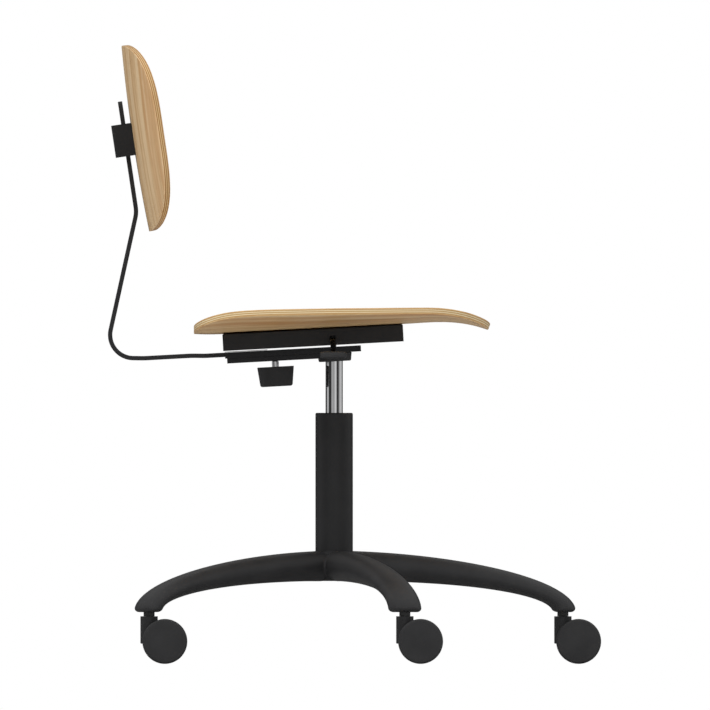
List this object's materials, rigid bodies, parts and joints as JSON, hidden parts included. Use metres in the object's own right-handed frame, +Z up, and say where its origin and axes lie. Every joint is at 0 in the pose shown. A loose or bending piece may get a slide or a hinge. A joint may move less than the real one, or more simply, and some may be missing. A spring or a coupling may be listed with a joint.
{
  "type": "swivel chair",
  "caption": "Plywood swivel chair with a gas lift, moulded star base on twin-wheel casters, and a back on a bent bar that slides for depth and height.",
  "frame": {"origin": "on the floor, below the middle of the chair's bounding box", "axes": "+X towards the front of the seat, +Y to the sitter's left, +Z up"},
  "size_m": [0.6576, 0.6326, 0.8251],
  "materials": {
    "plywood": "clear satin lacquer over rotary-cut beech veneer",
    "black_nylon": "fine moulded grain",
    "black_steel": "matt black powder coat",
    "chrome": "polished",
    "bright_steel": "zinc plated",
    "black_plastic": "satin moulded",
    "grey_plastic": "satin moulded",
    "bush_plastic": "machined acetal",
    "rubber": "moulded",
    "brass": "stamped"
  },
  "bodies": {
    "base": {"star_base": "black_nylon", "column_tube": "black_steel", "guide_bush": "bush_plastic", "bearing_race_lower": "bright_steel", "bearing_cage": "brass", "caster_stem_1": "black_steel", "caster_stem_2": "black_steel", "caster_stem_3": "black_steel", "caster_stem_4": "black_steel", "caster_stem_5": "black_steel"},
    "piston": {"piston_rod": "chrome", "bearing_race_upper": "bright_steel", "rod_clip": "bright_steel", "lift_buffer": "rubber"},
    "seat": {"gas_cylinder": "chrome", "lift_cup": "black_steel", "bar_channel": "black_steel", "bar_keeper": "black_steel", "clamp_channel": "black_steel", "clamp_nut": "bright_steel", "seat_box": "black_steel", "mount_bridge": "black_steel", "lever_bracket": "black_steel", "lever_pin": "bright_steel", "seat_shell": "plywood"},
    "valve_button": {"release_button": "bright_steel"},
    "lever": {"lever_rod": "black_steel", "lever_paddle": "grey_plastic"},
    "clamp": {"clamp_pad": "bright_steel"},
    "knob": {"clamp_knob": "black_plastic", "clamp_screw": "chrome"},
    "back_support": {"back_bar": "black_steel"},
    "backrest": {"back_shell": "plywood", "back_block": "black_plastic", "friction_pad": "rubber", "leaf_spring": "bright_steel"},
    "caster_1": {"caster_body_1": "black_nylon", "caster_axle_1": "bright_steel"},
    "wheel_1_left_body": {"wheel_1_left": "black_nylon"},
    "wheel_1_right_body": {"wheel_1_right": "black_nylon"},
    "caster_2": {"caster_body_2": "black_nylon", "caster_axle_2": "bright_steel"},
    "wheel_2_left_body": {"wheel_2_left": "black_nylon"},
    "wheel_2_right_body": {"wheel_2_right": "black_nylon"},
    "caster_3": {"caster_body_3": "black_nylon", "caster_axle_3": "bright_steel"},
    "wheel_3_left_body": {"wheel_3_left": "black_nylon"},
    "wheel_3_right_body": {"wheel_3_right": "black_nylon"},
    "caster_4": {"caster_body_4": "black_nylon", "caster_axle_4": "bright_steel"},
    "wheel_4_left_body": {"wheel_4_left": "black_nylon"},
    "wheel_4_right_body": {"wheel_4_right": "black_nylon"},
    "caster_5": {"caster_body_5": "black_nylon", "caster_axle_5": "bright_steel"},
    "wheel_5_left_body": {"wheel_5_left": "black_nylon"},
    "wheel_5_right_body": {"wheel_5_right": "black_nylon"}
  },
  "joints": [
    {"name": "seat_swivel", "type": "hinge", "parent": "base", "child": "piston", "pos_m": [-0.02719, 0, 0], "axis": [0, 0, 1], "continuous": true},
    {"name": "seat_lift", "type": "slide", "parent": "piston", "child": "seat", "axis": [0, 0, 1], "range_m": [-0.045, 0.07]},
    {"name": "valve_press", "type": "slide", "parent": "seat", "child": "valve_button", "axis": [0, 0, 1], "range_m": [-0.0036, 0]},
    {"name": "lever_lift", "type": "hinge", "parent": "seat", "child": "lever", "pos_m": [-0.02901, -0.05, 0.43081], "axis": [-0.9985, 0, -0.0541], "range_deg": [0, 4], "stiffness_Nm_per_rad": 20, "springref_deg": -5.73},
    {"name": "clamp_travel", "type": "slide", "parent": "seat", "child": "clamp", "axis": [-0.0541, 0, 0.9985], "range_m": [-0.00125, 0]},
    {"name": "knob_turn", "type": "hinge", "parent": "clamp", "child": "knob", "pos_m": [-0.10657, 0, 0.4187], "axis": [-0.0541, 0, 0.9985], "range_deg": [0, 360]},
    {"name": "back_depth", "type": "slide", "parent": "seat", "child": "back_support", "axis": [0.9985, 0, 0.0541], "range_m": [-0.03, 0.02]},
    {"name": "back_height", "type": "slide", "parent": "back_support", "child": "backrest", "axis": [-0.1478, 0, 0.989], "range_m": [-0.055, 0.025]},
    {"name": "caster_1_swivel", "type": "hinge", "parent": "base", "child": "caster_1", "pos_m": [0.27781, 0, 0], "axis": [0, 0, 1], "continuous": true},
    {"name": "wheel_1_left_roll", "type": "hinge", "parent": "caster_1", "child": "wheel_1_left_body", "pos_m": [0.29881, 0.0122, 0.03], "axis": [0, 1, 0], "continuous": true},
    {"name": "wheel_1_right_roll", "type": "hinge", "parent": "caster_1", "child": "wheel_1_right_body", "pos_m": [0.29881, -0.0122, 0.03], "axis": [0, 1, 0], "continuous": true},
    {"name": "caster_2_swivel", "type": "hinge", "parent": "base", "child": "caster_2", "pos_m": [0.06706, 0.29007, 0], "axis": [0, 0, 1], "continuous": true},
    {"name": "wheel_2_left_roll", "type": "hinge", "parent": "caster_2", "child": "wheel_2_left_body", "pos_m": [0.08807, 0.30227, 0.03], "axis": [0, 1, 0], "continuous": true},
    {"name": "wheel_2_right_roll", "type": "hinge", "parent": "caster_2", "child": "wheel_2_right_body", "pos_m": [0.08807, 0.27787, 0.03], "axis": [0, 1, 0], "continuous": true},
    {"name": "caster_3_swivel", "type": "hinge", "parent": "base", "child": "caster_3", "pos_m": [-0.27393, 0.17927, 0], "axis": [0, 0, 1], "continuous": true},
    {"name": "wheel_3_left_roll", "type": "hinge", "parent": "caster_3", "child": "wheel_3_left_body", "pos_m": [-0.25294, 0.19147, 0.03], "axis": [0, 1, 0], "continuous": true},
    {"name": "wheel_3_right_roll", "type": "hinge", "parent": "caster_3", "child": "wheel_3_right_body", "pos_m": [-0.25294, 0.16708, 0.03], "axis": [0, 1, 0], "continuous": true},
    {"name": "caster_4_swivel", "type": "hinge", "parent": "base", "child": "caster_4", "pos_m": [-0.27393, -0.17927, 0], "axis": [0, 0, 1], "continuous": true},
    {"name": "wheel_4_left_roll", "type": "hinge", "parent": "caster_4", "child": "wheel_4_left_body", "pos_m": [-0.25294, -0.16708, 0.03], "axis": [0, 1, 0], "continuous": true},
    {"name": "wheel_4_right_roll", "type": "hinge", "parent": "caster_4", "child": "wheel_4_right_body", "pos_m": [-0.25294, -0.19147, 0.03], "axis": [0, 1, 0], "continuous": true},
    {"name": "caster_5_swivel", "type": "hinge", "parent": "base", "child": "caster_5", "pos_m": [0.06706, -0.29007, 0], "axis": [0, 0, 1], "continuous": true},
    {"name": "wheel_5_left_roll", "type": "hinge", "parent": "caster_5", "child": "wheel_5_left_body", "pos_m": [0.08807, -0.27787, 0.03], "axis": [0, 1, 0], "continuous": true},
    {"name": "wheel_5_right_roll", "type": "hinge", "parent": "caster_5", "child": "wheel_5_right_body", "pos_m": [0.08807, -0.30227, 0.03], "axis": [0, 1, 0], "continuous": true}
  ],
  "couplings": [
    {"joint": "valve_press", "follows": "lever_lift", "m_per_rad": -0.05},
    {"joint": "knob_turn", "follows": "clamp_travel", "rad_per_m": -5026.5}
  ]
}
